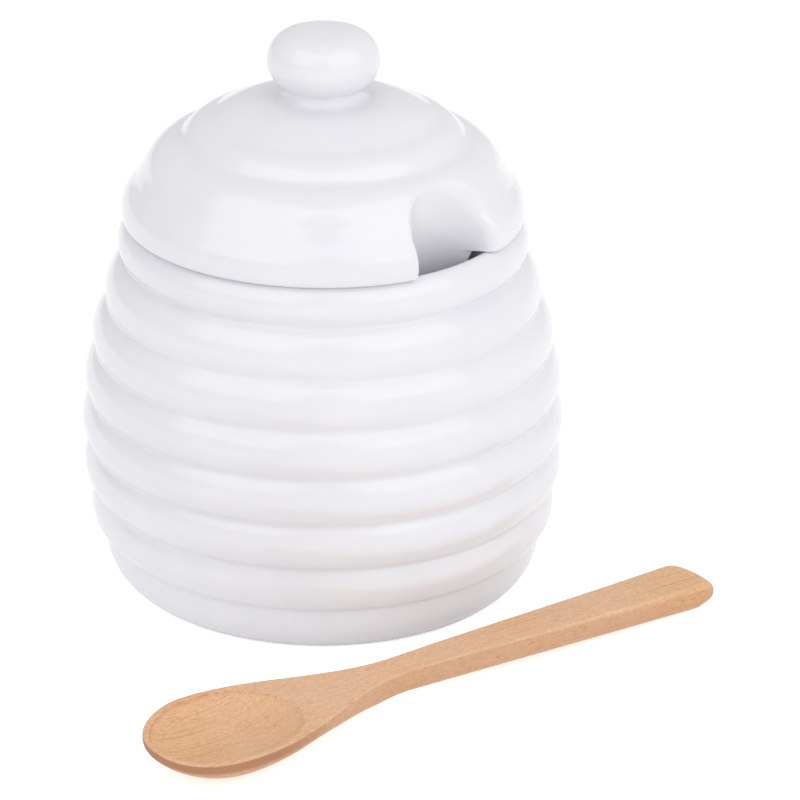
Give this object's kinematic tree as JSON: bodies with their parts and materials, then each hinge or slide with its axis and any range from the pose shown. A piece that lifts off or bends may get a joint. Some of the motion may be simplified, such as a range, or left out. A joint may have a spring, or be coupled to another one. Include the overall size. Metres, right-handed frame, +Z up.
{
  "type": "honey pot with lid and spoon",
  "caption": "Ribbed beehive-shaped glazed ceramic honey pot with a loose domed lid that has a knob and a spoon notch, and a wooden spoon lying in front of it.",
  "frame": {"origin": "centre of the pot's flat underside, on the surface that the pot and the spoon stand on", "axes": "+Z up along the pot's axis, +Y away from the viewer, +X to the right; the spoon lies on the -Y side"},
  "size_m": [0.1386, 0.1634, 0.1252],
  "materials": {
    "pot_glaze": "glossy white glaze",
    "lid_glaze": "glossy white glaze",
    "knob_glaze": "glossy white glaze",
    "spoon_wood": "sanded, unvarnished"
  },
  "bodies": {
    "pot": {"pot": "pot_glaze"},
    "lid": {"lid": "lid_glaze", "lid_knob": "knob_glaze"},
    "spoon": {"spoon": "spoon_wood"}
  },
  "joints": [
    {"name": "lid_lift", "type": "slide", "parent": "pot", "child": "lid", "axis": [0, 0, 1], "range_m": [0, 0.09]},
    {"name": "spoon_lift", "type": "slide", "parent": "pot", "child": "spoon", "axis": [0, 0, 1], "range_m": [0, 0.14]}
  ]
}
